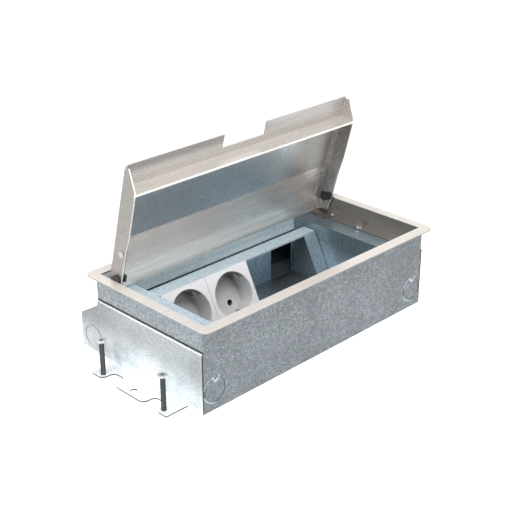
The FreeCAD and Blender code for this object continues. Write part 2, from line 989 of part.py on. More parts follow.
for number, tag in enumerate(("left", "right")):
    module_x = module_first + module_size * number
    half_face = (module_size - module_gap) / 2
    cover = make_body("socket_cover_" + tag)
    block(cover, (-half_face, -half_face, 0), (half_face, half_face, face_plate))
    block(cover, (-collar_half, -collar_half, -collar_depth), (collar_half, collar_half, 0))
    hollow = collar_half - collar_wall
    block(cover, (-hollow, -hollow, -collar_depth), (hollow, hollow, -0.5), cut=True)
    cup = make_sketch(cover, "XY", cup_under)
    add_circle(cup, (0, 0), recess_radius + recess_wall)
    pad(cover, cup, -cup_under + 0.2)
    recess = make_sketch(cover, "XY", cup_floor)
    add_circle(recess, (0, 0), recess_radius)
    pocket(cover, recess, recess_depth + 1)
    for sign in (-1, 1):
        guide = make_sketch(cover, "XY", cup_floor)
        inner = recess_radius - guide_height
        ends = sorted(
            (sign * inner, sign * (recess_radius + recess_wall / 2)),
            key=lambda item: item.value,
        )
        turned_rectangle(
            guide,
            (ends[0], -guide_width / 2),
            (ends[1], guide_width / 2),
            socket_turn.value,
        )
        pad(cover, guide, recess_depth - 2.0)
    holes = make_sketch(cover, "XY", cup_under)
    for sign in (-1, 1):
        add_circle(holes, turned((sign * (pin_spacing / 2), 0), socket_turn.value), pin_hole_radius)
    pocket(cover, holes, recess_wall)
    for sign in (-1, 1):
        slot = make_sketch(cover, "XY", -clip_depth - slot_below)
        ends = sorted(
            (sign * (recess_radius - slot_reach), sign * (recess_radius + slot_reach)),
            key=lambda item: item.value,
        )
        turned_rectangle(
            slot,
            (ends[0], -clip_width / 2 - slot_side),
            (ends[1], clip_width / 2 + slot_side),
            clip_angle.value,
        )
        pocket(cover, slot, slot_height)
    for sign in (-1, 1):
        low, high = sorted(
            (sign * (collar_half - 0.5), sign * (collar_half + snap_reach)),
            key=lambda item: item.value,
        )
        block(
            cover,
            (-snap_half, low, -snap_below - snap_height),
            (snap_half, high, -snap_below),
        )
    seat_module(cover, module_x)
    cover.Label = "socket_cover_" + tag

    clip = make_body("earth_clip_" + tag)
    profile = make_sketch(clip, "XZ", -clip_width / 2)
    inside = recess_radius + recess_wall + 0.4
    outside = inside + clip_sheet
    tip = recess_radius - clip_reach
    low = cup_under - 0.1 - clip_sheet
    high = -clip_depth + clip_sheet
    right_side = [
        (outside, low),
        (outside, high),
        (tip, high),
        (tip, high - clip_sheet),
        (inside, high - clip_sheet),
        (inside, low + clip_sheet),
    ]
    left_side = [(-a, b) for a, b in reversed(right_side)]
    add_polygon(profile, right_side + left_side)
    pad(clip, profile, clip_width)
    seat_module(clip, module_x, clip_angle.value)

    base = make_body("socket_base_" + tag)
    base_top = cup_under - 0.2 - clip_sheet
    block(
        base,
        (-base_length / 2, -base_width / 2, base_top - base_depth),
        (base_length / 2, base_width / 2, base_top),
    )
    contact_half = contact_grip / 2 + contact_sheet
    contact_low = base_top - contact_drop - contact_length
    pocket_x = contact_width / 2 + screw_clearance
    pocket_y = contact_half + screw_clearance
    for sign in (-1, 1):
        middle = sign * (pin_spacing / 2)
        block(
            base,
            (middle - pocket_x, -pocket_y, contact_low - screw_clearance),
            (middle + pocket_x, pocket_y, base_top + 1),
            cut=True,
        )
    seat_module(base, module_x, socket_turn.value)

    # Each contact is a strip folded to a U, whose legs grip one round pin
    strips = []
    for sign, mark in ((-1, "neutral"), (1, "live")):
        strip = make_body("contact_%s_%s" % (mark, tag))
        fold = make_sketch(strip, "YZ", sign * (pin_spacing / 2) - contact_width / 2)
        top = contact_low + contact_length
        web = contact_low + contact_sheet
        add_polygon(
            fold,
            [
                (-contact_half, contact_low),
                (contact_half, contact_low),
                (contact_half, top),
                (contact_grip / 2, top),
                (contact_grip / 2, web),
                (-contact_grip / 2, web),
                (-contact_grip / 2, top),
                (-contact_half, top),
            ],
        )
        pad(strip, fold, contact_width)
        strips.append(strip)
    pair = group("contact_sleeves_" + tag, strips)
    seat_module(pair, module_x, socket_turn.value)

doc.recompute()

NODES = [
    "housing",
    "cable_duct",
    "end_plate_left",
    "end_plate_right",
    "end_bracket_left",
    "end_bracket_right",
    "socket_carrier",
    "carrier_screws",
    "floor_frame",
    "frame_screws",
    "hinge_pins",
    "lid_cover",
    "lid_stiffener",
    "hinge_bracket_left",
    "hinge_bracket_right",
    "bracket_rivets",
    "friction_bush_left",
    "friction_bush_right",
    "socket_cover_left",
    "socket_cover_right",
    "socket_base_left",
    "socket_base_right",
    "contact_sleeves_left",
    "contact_sleeves_right",
    "earth_clip_left",
    "earth_clip_right",
    "level_screw_front_left",
    "level_screw_rear_left",
    "level_screw_front_right",
    "level_screw_rear_right",
    "earth_stud",
    "earth_nut",
]

for item in doc.Objects:
    if "Invalid" in item.State or "Error" in item.State:
        raise ValueError("cannot rebuild " + item.Name)
os.makedirs("parts", exist_ok=True)
for name in NODES:
    item = doc.getObject(name)
    if item.Shape.isNull() or not item.Shape.isValid():
        raise ValueError("bad shape " + name)
    item.Shape.exportStep("parts/" + name + ".step")
    print(name, len(item.Shape.Solids), round(item.Shape.Volume, 1))
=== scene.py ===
import json
import math

import bmesh
import bpy
from mathutils import Matrix, Vector


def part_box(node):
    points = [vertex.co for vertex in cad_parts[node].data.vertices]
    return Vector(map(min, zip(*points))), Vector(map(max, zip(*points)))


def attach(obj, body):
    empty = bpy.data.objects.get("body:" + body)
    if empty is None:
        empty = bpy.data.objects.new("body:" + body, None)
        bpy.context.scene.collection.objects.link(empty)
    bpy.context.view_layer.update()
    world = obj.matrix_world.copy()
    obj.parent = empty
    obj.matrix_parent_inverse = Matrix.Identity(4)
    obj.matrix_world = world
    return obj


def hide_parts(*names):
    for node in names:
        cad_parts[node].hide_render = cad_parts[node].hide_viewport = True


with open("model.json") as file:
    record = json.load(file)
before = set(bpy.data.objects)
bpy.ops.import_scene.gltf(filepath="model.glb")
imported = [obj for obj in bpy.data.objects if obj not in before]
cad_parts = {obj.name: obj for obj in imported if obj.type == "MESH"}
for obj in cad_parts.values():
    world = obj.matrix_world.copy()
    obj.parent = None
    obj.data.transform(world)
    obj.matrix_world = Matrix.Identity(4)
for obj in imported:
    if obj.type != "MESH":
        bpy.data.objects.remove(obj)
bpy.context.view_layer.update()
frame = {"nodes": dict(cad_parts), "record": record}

MM = 0.001
IMAGE_SIZE = 515.0

# Camera, solved from the photograph's straight edges, in millimetres and degrees
CAMERA_AZIMUTH = -44.8825
CAMERA_ELEVATION = 25.1125
CAMERA_ROLL = -0.0789
CAMERA_FOCAL_PIXELS = 1108.07
CAMERA_DISTANCE = 914.018
CAMERA_TARGET = Vector((24.609, 34.990, 42.95))

# Grain of the finishes, with texture scales in repeats per metre
CRYSTAL_SCALE = 640.0
GRAIN_SCALE = 1100.0
CLOUD_SCALE = 22.0
BRUSH_LINES = (18.0, 1500.0, 1500.0)
BRUSH_STREAKS = (4.0, 160.0, 160.0)
SPOT_SCALE = 900.0
PORE_SCALE = 2200.0
BLOTCH_SCALE = 60.0
GRAIN_DEPTH = 0.05 * MM
BRUSH_DEPTH = 0.03 * MM
PORE_DEPTH = 0.02 * MM
BUMP_STRENGTH = 0.5
ROUGHNESS_SPREAD = 0.08
BRUSHED_SPREAD = 0.09
BRUSH_ANISOTROPY = 0.4
CRYSTAL_SHARE = 0.4
LINE_SHARE = 0.65
FLECK_GAIN = 1.67
FACING_SPAN = (0.45, 0.55)


class Surface:
    """A procedural material in the object's own coordinates, which are the frame's at rest."""

    def __init__(self, name, metallic=0.0):
        self.material = bpy.data.materials.new(name)
        self.material.use_nodes = True
        self.tree = self.material.node_tree
        self.shader = self.tree.nodes["Principled BSDF"]
        self.shader.inputs["Metallic"].default_value = metallic
        coordinates = self.tree.nodes.new("ShaderNodeTexCoord")
        self.place = coordinates.outputs["Object"]
        self.facing = coordinates.outputs["Normal"]

    def node(self, kind, **values):
        item = self.tree.nodes.new(kind)
        for key, value in values.items():
            setattr(item, key, value)
        return item

    def link(self, source, target):
        self.tree.links.new(source, target)

    def scaled(self, scales):
        """The place, with each axis scaled by itself."""
        mapping = self.node("ShaderNodeMapping")
        mapping.inputs["Scale"].default_value = scales
        self.link(self.place, mapping.inputs["Vector"])
        return mapping.outputs["Vector"]

    def noise(self, vector, scale, detail=2.0, rough=0.5):
        item = self.node("ShaderNodeTexNoise")
        item.inputs["Scale"].default_value = scale
        item.inputs["Detail"].default_value = detail
        item.inputs["Roughness"].default_value = rough
        self.link(vector, item.inputs["Vector"])
        return item.outputs["Fac"]

    def cells(self, vector, scale):
        """Soft-edged cells, each of one random grey."""
        item = self.node("ShaderNodeTexVoronoi", feature="SMOOTH_F1")
        item.inputs["Scale"].default_value = scale
        item.inputs["Smoothness"].default_value = 0.35
        self.link(vector, item.inputs["Vector"])
        grey = self.node("ShaderNodeSeparateColor")
        self.link(item.outputs["Color"], grey.inputs["Color"])
        return grey.outputs["Red"]

    def math(self, kind, first, second):
        item = self.node("ShaderNodeMath", operation=kind)
        for socket, value in zip(item.inputs, (first, second)):
            if isinstance(value, (int, float)):
                socket.default_value = value
            else:
                self.link(value, socket)
        return item.outputs["Value"]

    def span(self, value, low, high, from_low=0.0, from_high=1.0):
        """Turn from_low to from_high into low to high, and hold the ends beyond them."""
        item = self.node("ShaderNodeMapRange")
        item.inputs["From Min"].default_value = from_low
        item.inputs["From Max"].default_value = from_high
        item.inputs["To Min"].default_value = low
        item.inputs["To Max"].default_value = high
        self.link(value, item.inputs["Value"])
        return item.outputs["Result"]

    def blend(self, factor, first, second, **values):
        """Mix two colours, each a link or a tuple of red, green and blue."""
        item = self.node("ShaderNodeMix", data_type="RGBA", **values)
        self.link(factor, item.inputs["Factor"])
        for name, value in (("A", first), ("B", second)):
            socket = [s for s in item.inputs if s.name == name and s.type == "RGBA"][0]
            if isinstance(value, tuple):
                socket.default_value = (*value, 1.0)
            else:
                self.link(value, socket)
        return [s for s in item.outputs if s.type == "RGBA"][0]

    def along(self, axis, vector=None):
        item = self.node("ShaderNodeSeparateXYZ")
        self.link(vector or self.place, item.inputs["Vector"])
        return item.outputs[axis]

    def between(self, axis, start, end):
        """A mask that turns from 0 to 1 as a coordinate goes from start to end."""
        return self.span(self.along(axis), 0.0, 1.0, start, end)

    def beyond(self, axis, start, end):
        """A mask of both ends of an axis, further out than start to end."""
        return self.span(self.math("ABSOLUTE", self.along(axis), 0.0), 0.0, 1.0, start, end)

    def near(self, point, start, end):
        """A mask that turns from 0 to 1 as the distance from a point goes from start to end."""
        item = self.node("ShaderNodeVectorMath", operation="DISTANCE")
        item.inputs[1].default_value = point
        self.link(self.place, item.inputs[0])
        return self.span(item.outputs["Value"], 0.0, 1.0, start, end)

    def slant(self, vector, direction, start, end):
        """A mask that turns from 0 to 1 as a place or a normal goes along a direction."""
        item = self.node("ShaderNodeVectorMath", operation="DOT_PRODUCT")
        item.inputs[1].default_value = direction
        self.link(vector, item.inputs[0])
        return self.span(item.outputs["Value"], 0.0, 1.0, start, end)

    def faces(self, axis, sign=0):
        """A mask of the faces that look along an axis, one way or both."""
        value = self.along(axis, self.facing)
        if sign:
            value = self.math("MULTIPLY", value, float(sign))
        else:
            value = self.math("ABSOLUTE", value, 0.0)
        return self.span(value, 0.0, 1.0, *FACING_SPAN)

    def both(self, first, second):
        return self.math("MULTIPLY", first, second)

    def either(self, first, second):
        return self.math("MAXIMUM", first, second)

    def colour(self, value):
        self.link(value, self.shader.inputs["Base Color"])

    def roughness(self, pattern, middle, spread=ROUGHNESS_SPREAD):
        """Roughness about a middle value, lower where the pattern is high."""
        self.link(self.span(pattern, middle + spread, middle - spread), self.shader.inputs["Roughness"])

    def bump(self, height, distance):
        item = self.node("ShaderNodeBump")
        item.inputs["Distance"].default_value = distance
        item.inputs["Strength"].default_value = BUMP_STRENGTH
        self.link(height, item.inputs["Height"])
        self.link(item.outputs["Normal"], self.shader.inputs["Normal"])

    def tint(self, mask, gain):
        """Multiply the base colour, by a number or by red, green and blue, where the mask is set."""
        if isinstance(gain, float):
            gain = (gain, gain, gain)
        shade = self.shader.inputs["Base Color"].links[0].from_socket
        self.colour(self.blend(mask, shade, gain, blend_type="MULTIPLY", clamp_result=True))

    def metal(self, mask, elsewhere, there):
        """One metallic value where the mask is set and another elsewhere."""
        self.link(self.span(mask, elsewhere, there), self.shader.inputs["Metallic"])


def zinc(name, dark, light, rough, metallic):
    """Zinc-coated sheet: a fine spangle of small crystals over faint clouds."""
    surface = Surface(name, metallic=metallic)
    crystals = surface.cells(surface.place, CRYSTAL_SCALE)
    specks = surface.noise(surface.place, GRAIN_SCALE, rough=0.6)
    grain = surface.span(specks, 0.0, 1.0, from_low=0.36, from_high=0.64)
    clouds = surface.noise(surface.place, CLOUD_SCALE, detail=3.0)
    mixed = surface.math("MULTIPLY", crystals, CRYSTAL_SHARE)
    mixed = surface.math("ADD", mixed, surface.math("MULTIPLY", grain, 1.0 - CRYSTAL_SHARE))
    mixed = surface.math("ADD", mixed, surface.span(clouds, -0.12, 0.12, from_low=0.3, from_high=0.7))
    flecks = surface.math("POWER", mixed, 2.0)
    bright = tuple(low + (high - low) * FLECK_GAIN for low, high in zip(dark, light))
    surface.colour(surface.blend(flecks, dark, bright))
    surface.roughness(mixed, rough)
    surface.bump(grain, GRAIN_DEPTH)
    return surface


def brushed(name, dark, light, rough, metallic):
    """Stainless sheet, brushed along the box's length."""
    surface = Surface(name, metallic=metallic)
    lines = surface.noise(surface.scaled(BRUSH_LINES), 1.0, detail=3.0, rough=0.6)
    streaks = surface.noise(surface.scaled(BRUSH_STREAKS), 1.0)
    mixed = surface.math("MULTIPLY", lines, LINE_SHARE)
    mixed = surface.math("ADD", mixed, surface.math("MULTIPLY", streaks, 1.0 - LINE_SHARE))
    mixed = surface.span(mixed, 0.0, 1.0, from_low=0.3, from_high=0.7)
    surface.colour(surface.blend(mixed, dark, light))
    surface.roughness(mixed, rough, BRUSHED_SPREAD)
    surface.bump(lines, BRUSH_DEPTH)
    surface.shader.inputs["Anisotropic"].default_value = BRUSH_ANISOTROPY
    return surface


def turned_metal(name, dark, light, rough, metallic=1.0):
    """Turned or rolled metal, faintly spotted."""
    surface = Surface(name, metallic=metallic)
    spots = surface.noise(surface.place, SPOT_SCALE, rough=0.6)
    surface.colour(surface.blend(spots, dark, light))
    surface.roughness(spots, rough)
    surface.bump(spots, BRUSH_DEPTH)
    return surface


def moulded(name, dark, light, rough, coat=0.0):
    """Moulded plastic with fine pores."""
    surface = Surface(name)
    pores = surface.noise(surface.place, PORE_SCALE, rough=0.6)
    blotches = surface.noise(surface.place, BLOTCH_SCALE)
    surface.colour(surface.blend(blotches, dark, light))
    surface.roughness(pores, rough)
    surface.bump(pores, PORE_DEPTH)
    surface.shader.inputs["Coat Weight"].default_value = coat
    return surface


# Dark and light tone of each finish
# BODY, INNER, DUCT, SHELF and END tones are one zinc with painted light and shade: darker for the
# body's outside, lighter for the inner parts, duct, ledges and end plates.
BODY_TONES = ((0.157, 0.176, 0.191), (0.278, 0.304, 0.324))
INNER_TONES = ((0.31, 0.385, 0.425), (0.46, 0.545, 0.595))
DUCT_TONES = ((0.25, 0.30, 0.335), (0.41, 0.48, 0.53))
SHELF_TONES = ((0.20, 0.25, 0.28), (0.30, 0.37, 0.41))
END_TONES = ((0.325, 0.35, 0.365), (0.465, 0.495, 0.515))
SMOOTH_TONES = ((0.53, 0.60, 0.65), (0.59, 0.66, 0.71))
HINGE_TONES = ((0.30, 0.295, 0.285), (0.42, 0.41, 0.395))
STAINLESS_TONES = ((0.52, 0.49, 0.46), (0.76, 0.72, 0.68))
FLANGE_TONES = ((0.62, 0.58, 0.54), (0.80, 0.75, 0.70))
WHITE_TONES = ((0.66, 0.66, 0.67), (0.73, 0.73, 0.735))
GREY_TONES = ((0.11, 0.115, 0.12), (0.15, 0.155, 0.16))
BLACK_TONES = ((0.012, 0.012, 0.013), (0.022, 0.022, 0.024))
SCREW_TONES = ((0.36, 0.36, 0.35), (0.62, 0.62, 0.6))
BRONZE_TONES = ((0.74, 0.58, 0.48), (0.92, 0.78, 0.68))
PIN_TONES = ((0.42,) * 3, (0.66,) * 3)
TIN_TONES = ((0.50,) * 3, (0.70,) * 3)
RECESS_SHADE_TONES = ((0.02, 0.02, 0.022), (0.05, 0.05, 0.052))
SCREW_HEAD_TONES = ((0.78,) * 3, (0.95,) * 3)
SCREW_SHAFT_TONE = (0.06, 0.062, 0.064)

# Housing: painted light on the back wall and the ends, and the painted shadow line above the end plates
HOUSING_LOW, HOUSING_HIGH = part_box("housing")
PLATE_LOW, PLATE_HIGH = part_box("end_plate_right")
SHARP = 0.1 * MM
BACK_WALL_Y = (HOUSING_HIGH.y - 2.3 * MM, HOUSING_HIGH.y - 1.7 * MM)
HOUSING_END_X = (HOUSING_HIGH.x - 0.9 * MM, HOUSING_HIGH.x - 0.6 * MM)
PAINTED_SHADOW_LINE = 1.3 * MM

# Knock-outs in the front wall, with painted highlights on their punched rings and on the nicks over
# them
KNOCKOUT_X = HOUSING_HIGH.x - 10.4 * MM
KNOCKOUT_Z = 16.2 * MM
KNOCKOUT_RADIUS = 10.0 * MM
RING_HALF = 0.6 * MM
RING_GAP = (2.5 * MM, 3.5 * MM)
RING_HIGHLIGHT_HALF = 2.0 * MM
NICK_RADII = (1.3 * MM, 0.7 * MM)
NICKS = ((-1.8, 9.6), (-0.4, 8.1), (1.1, 7.0), (2.8, 8.2), (4.5, 9.3))

# End plates and feet
FOOT_CLOUD_SCALE = 30.0
PLATE_TOP_HIGHLIGHT = 0.9 * MM
BEND_PAINTED_REFLECTION_Z = (34.0 * MM, 4.0 * MM)
FOOT_TOP_Z = (3.0 * MM, 2.5 * MM)
FOOT_X = (PLATE_LOW.x + 2.5 * MM, PLATE_LOW.x + 3.0 * MM)
PLATE_REAR_Y = (20.0 * MM, 60.0 * MM)
PLATE_REAR_Z = (6.0 * MM, 10.0 * MM)

# Cable duct, end brackets and carrier
DUCT_LOW, DUCT_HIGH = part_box("cable_duct")
DUCT_LIP_Z = (DUCT_HIGH.z - 10.5 * MM, DUCT_HIGH.z - 9.5 * MM)
DUCT_BACK_Y = (DUCT_HIGH.y - 2.8 * MM, DUCT_HIGH.y - 2.2 * MM)
DUCT_FRONT_Y = (DUCT_LOW.y + 3.0 * MM, DUCT_LOW.y + 1.0 * MM)
DUCT_FRONT_Z = (DUCT_HIGH.z - 11.0 * MM, DUCT_HIGH.z - 15.0 * MM)
LEFT_HALF_X = (1.0 * MM, -1.0 * MM)
BRACKET_LOW_Z = (40.0 * MM, 25.0 * MM)
CARRIER_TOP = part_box("socket_carrier")[1].z
CARRIER_TOP_Z = (CARRIER_TOP - 1.7 * MM, CARRIER_TOP - 1.1 * MM)

# Floor frame
FRAME_LOW, FRAME_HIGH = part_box("floor_frame")
FRAME_TOP_Z = (FRAME_HIGH.z - 0.5 * MM, FRAME_HIGH.z - 0.2 * MM)
PAINTED_GLINT = (FRAME_HIGH.x - 12.0 * MM, 32.8 * MM, FRAME_LOW.z + 1.0 * MM)
PAINTED_GLINT_RADII = (1.6 * MM, 1.1 * MM)

# Lid, which leans back from the upright by this angle when open
LID_LEAN = math.radians(15.0)
LID_NORMAL = (0.0, -math.cos(LID_LEAN), -math.sin(LID_LEAN))
LID_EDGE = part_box("lid_cover")[1].x
LID_PLATE_DEPTH = (-56.0 * MM, -59.0 * MM)
LID_PLATE_Z = (144.0 * MM, 142.5 * MM)
LID_REFLECTION_STRIP_Z = (146.0 * MM, 147.5 * MM)
LID_PAINTED_LIGHT_X = (60.0 * MM, -60.0 * MM)
LID_RIGHT_X = (90.0 * MM, 100.0 * MM)
PANEL_EDGE_Y = (15.2 * MM, 15.0 * MM)
PANEL_EDGE_Z = (144.4 * MM, 144.2 * MM)
FLANGE_EDGE_X = (LID_EDGE - 1.4 * MM, LID_EDGE - 1.1 * MM)
STIFFENER_REFLECTION_X = (50.0 * MM, 75.0 * MM)

# Sockets, which face forward and up, with guides turned in their recesses
SOCKET_TILT = math.radians(27.0)
GUIDE_TURN = math.radians(45.0)
SOCKET_NORMAL = (0.0, -math.cos(SOCKET_TILT), math.sin(SOCKET_TILT))
SOCKET_DOWN = (0.0, -math.sin(SOCKET_TILT), -math.cos(SOCKET_TILT))
GUIDE_UNDER = (
    -math.sin(GUIDE_TURN),
    SOCKET_DOWN[1] * math.cos(GUIDE_TURN),
    SOCKET_DOWN[2] * math.cos(GUIDE_TURN),
)
SOCKET_DEPTH = (-5.8 * MM, -7.5 * MM)
DOWN_SPAN = (0.5, 0.95)
UNDER_SPAN = (0.975, 0.99)


def housing_finish():
    """Painted light on the inner back wall and on the end faces, painted highlights on the knock-out
    rings, and a painted shadow line above each end plate.
    """
    surface = zinc("galvanised_body", *BODY_TONES, rough=0.40, metallic=0.85)
    # Painted light: the inner back wall is made lighter and less metallic than the rest of the same
    # zinc.
    back = surface.both(surface.between("Y", *BACK_WALL_Y), surface.faces("Y", -1))
    surface.tint(back, gain=(3.6, 4.1, 4.4))
    surface.metal(back, elsewhere=0.85, there=0.2)
    # Painted shadow: a dark line on the wall just above each end plate's top edge.
    shadow_line_top = PLATE_HIGH.z + PAINTED_SHADOW_LINE
    above = surface.between("Z", PLATE_HIGH.z, PLATE_HIGH.z + SHARP)
    below = surface.between("Z", shadow_line_top + SHARP, shadow_line_top)
    ends = surface.beyond("X", *HOUSING_END_X)
    # Painted light on the housing's end faces.
    surface.tint(surface.both(ends, surface.faces("X")), gain=1.3)
    surface.tint(surface.both(ends, surface.both(above, below)), gain=0.1)
    for side in (-1, 1):
        paint_knockout_highlights(surface, (side * KNOCKOUT_X, HOUSING_LOW.y, KNOCKOUT_Z))
    return surface.material


def paint_knockout_highlights(surface, centre):
    """Painted highlights on the left half of a ring, but for a gap at its middle height, and on the
    nicks over it.
    """
    inner = KNOCKOUT_RADIUS - RING_HALF
    outer = KNOCKOUT_RADIUS + RING_HALF
    ring = surface.both(
        surface.near(centre, inner, inner + SHARP), surface.near(centre, outer + SHARP, outer)
    )
    start, end = RING_GAP
    clear_of_gap = surface.either(
        surface.between("Z", centre[2] + start, centre[2] + end),
        surface.between("Z", centre[2] - start, centre[2] - end),
    )
    left = surface.between("X", centre[0] + RING_HIGHLIGHT_HALF, centre[0] - RING_HIGHLIGHT_HALF)
    surface.tint(surface.both(ring, surface.both(left, clear_of_gap)), gain=2.6)
    # Painted highlights on the nicks.
    for x, z in NICKS:
        nick = surface.near((centre[0] + x * MM, centre[1], centre[2] + z * MM), *NICK_RADII)
        surface.tint(nick, gain=2.4)


def end_plate_finish():
    """Painted light and floor reflection on the foot and the bend, a painted highlight on the top cut
    edge, dark cut edges elsewhere, and darker towards the rear above the foot.
    """
    surface = zinc("galvanised_end", *END_TONES, rough=0.38, metallic=0.75)
    # Painted light and floor reflection: the foot, and mottled patches up the bend, made lighter and
    # less metallic.
    blotches = surface.noise(surface.place, FOOT_CLOUD_SCALE, detail=3.0)
    clouds = surface.span(blotches, 0.25, 1.0, from_low=0.42, from_high=0.58)
    foot_top = surface.between("Z", *FOOT_TOP_Z)
    bend = surface.either(surface.both(surface.between("Z", *BEND_PAINTED_REFLECTION_Z), clouds), foot_top)
    surface.tint(bend, gain=2.1)
    # Painted highlight on the top cut edge.
    line_low = PLATE_HIGH.z - PLATE_TOP_HIGHLIGHT
    top_highlight = surface.between("Z", line_low, line_low + SHARP)
    surface.tint(top_highlight, gain=2.6)
    surface.metal(surface.either(bend, top_highlight), elsewhere=0.75, there=0.3)
    outward = surface.beyond("X", *FOOT_X)
    foot_edge = surface.both(surface.faces("X"), surface.both(outward, foot_top))
    surface.tint(surface.either(surface.faces("Y"), foot_edge), gain=0.12)
    rear = surface.both(surface.between("Y", *PLATE_REAR_Y), surface.between("Z", *PLATE_REAR_Z))
    surface.tint(rear, gain=0.7)
    return surface.material


def duct_finish():
    """Zinc, with painted shade deep inside, at the lip behind the carrier and on the faces looking
    towards -X, and painted light, lighter and bluer, on its front wall.
    """
    surface = zinc("galvanised_duct", *DUCT_TONES, rough=0.40, metallic=0.75)
    # Painted shade deep inside and at the lip behind the carrier.
    lip = surface.between("Z", *DUCT_LIP_Z)
    deep = surface.between("Y", *DUCT_BACK_Y)
    surface.tint(surface.both(surface.faces("Y", -1), surface.either(lip, deep)), gain=0.4)
    # Painted light on the front wall, lighter and bluer.
    front = surface.both(surface.between("Y", *DUCT_FRONT_Y), surface.between("Z", *DUCT_FRONT_Z))
    surface.tint(surface.both(surface.faces("Y", -1), front), gain=(1.7, 1.95, 2.1))
    # Painted shade on the faces that look towards -X.
    surface.tint(surface.faces("X", -1), gain=0.5)
    return surface.material


def end_bracket_finish():
    """Blue zinc, with painted light on the left ledge's top and low on the right wall, which the lamps
    don't reach.
    """
    surface = zinc("galvanised_ledge", *SHELF_TONES, rough=0.36, metallic=0.85)
    # Painted light, lighter and less metallic, on the left ledge's top.
    left = surface.both(surface.faces("Z", 1), surface.between("X", *LEFT_HALF_X))
    surface.tint(left, gain=1.9)
    surface.metal(left, elsewhere=0.85, there=0.3)
    # Painted light low on the inner wall, which the lamps don't reach.
    low = surface.both(surface.faces("X", -1), surface.between("Z", *BRACKET_LOW_Z))
    surface.tint(low, gain=2.0)
    return surface.material


def carrier_finish():
    """Blue zinc, with painted light on top."""
    surface = zinc("galvanised_carrier", *INNER_TONES, rough=0.36, metallic=0.85)
    # Painted light: the top face made lighter and less metallic.
    top = surface.both(surface.faces("Z", 1), surface.between("Z", *CARRIER_TOP_Z))
    surface.tint(top, gain=1.45)
    surface.metal(top, elsewhere=0.85, there=0.5)
    return surface.material


def frame_finish():
    """Bright brushed flange over inner skirts darkened with painted shade, and a painted glint."""
    surface = brushed("stainless_frame", *FLANGE_TONES, rough=0.33, metallic=0.9)
    # Painted shade on everything below the flange's top.
    top = surface.between("Z", *FRAME_TOP_Z)
    surface.tint(surface.math("SUBTRACT", 1.0, top), gain=0.5)
    # Painted glint: a small bright spot, less metallic.
    glint = surface.near(PAINTED_GLINT, *PAINTED_GLINT_RADII)
    surface.tint(glint, gain=3.0)
    surface.metal(surface.either(top, glint), elsewhere=0.9, there=0.5)
    return surface.material


def lid_finish():
    """Brushed plate, with painted light at its left end inside and on the right flange's inner face,
    painted shade on the side flanges and on the faces looking towards +Y, painted highlights on its
    edges and a painted reflection along a strip inside.
    """
    surface = brushed("stainless_lid", *STAINLESS_TONES, rough=0.29, metallic=0.7)
    # Painted shade on the side flanges.
    surface.tint(surface.faces("X"), gain=0.5)
    # Painted light on the right flange's inner face.
    right = surface.both(surface.faces("X", -1), surface.between("X", *LID_RIGHT_X))
    surface.tint(right, gain=1.5)
    # Painted highlights on the panel's lower edge and the flanges' front edges.
    panel_edge = surface.both(surface.between("Y", *PANEL_EDGE_Y), surface.between("Z", *PANEL_EDGE_Z))
    flange_edge = surface.both(surface.faces("Y", -1), surface.beyond("X", *FLANGE_EDGE_X))
    edges = surface.either(panel_edge, flange_edge)
    surface.tint(edges, gain=1.5)
    deep = surface.slant(surface.place, LID_NORMAL, *LID_PLATE_DEPTH)
    inside = surface.both(deep, surface.faces("Y", -1))
    plate = surface.both(inside, surface.between("Z", *LID_PLATE_Z))
    # Painted reflection: a darker strip inside the lid.
    strip = surface.both(inside, surface.between("Z", *LID_REFLECTION_STRIP_Z))
    # Painted shade on the faces looking towards +Y.
    surface.tint(surface.faces("Y", 1), gain=0.8)
    surface.tint(strip, gain=(0.82, 0.84, 0.86))
    # Painted light at the plate's left end inside; the painted light and highlights are less metallic.
    pale = surface.both(plate, surface.between("X", *LID_PAINTED_LIGHT_X))
    surface.tint(pale, gain=1.35)
    dull = surface.either(edges, surface.math("MULTIPLY", pale, 0.5))
    surface.metal(dull, elsewhere=0.7, there=0.1)
    return surface.material


def stiffener_finish():
    """Smooth zinc sheet, with a painted reflection, darker and browner, towards its right end."""
    surface = zinc("galvanised_smooth", *SMOOTH_TONES, rough=0.32, metallic=0.8)
    # Painted reflection, darker and browner, towards the right end.
    surface.tint(surface.between("X", *STIFFENER_REFLECTION_X), gain=(0.62, 0.54, 0.48))
    return surface.material


def socket_finish():
    """White plastic, with painted shade in the recess, deepest on what faces down there and under the
    guides.
    """
    surface = moulded("white_moulding", *WHITE_TONES, rough=0.36, coat=0.1)
    recess = surface.slant(surface.place, SOCKET_NORMAL, *SOCKET_DEPTH)
    down = surface.slant(surface.facing, SOCKET_DOWN, *DOWN_SPAN)
    under = surface.slant(surface.facing, GUIDE_UNDER, *UNDER_SPAN)
    # Painted shade in the recess, deeper on the faces looking down and under the guides.
    surface.tint(recess, gain=0.72)
    surface.tint(surface.both(recess, down), gain=0.6)
    surface.tint(surface.both(recess, under), gain=0.5)
    return surface.material


MATERIALS = {
    "galvanised": housing_finish(),
    "galvanised_inner": zinc("galvanised_inner", *SHELF_TONES, rough=0.36, metallic=0.85).material,
    "stainless": frame_finish(),
    "stainless_pin": turned_metal("pin_steel", *PIN_TONES, rough=0.25).material,
    "zinc_screw": turned_metal("zinc_screw", *SCREW_TONES, rough=0.3).material,
    "white_plastic": socket_finish(),
    "grey_plastic": moulded("grey_moulding", *GREY_TONES, rough=0.5).material,
    "black_plastic": moulded("black_moulding", *BLACK_TONES, rough=0.4).material,
    "brass": turned_metal("contact_bronze", *BRONZE_TONES, rough=0.3, metallic=0.4).material,
}

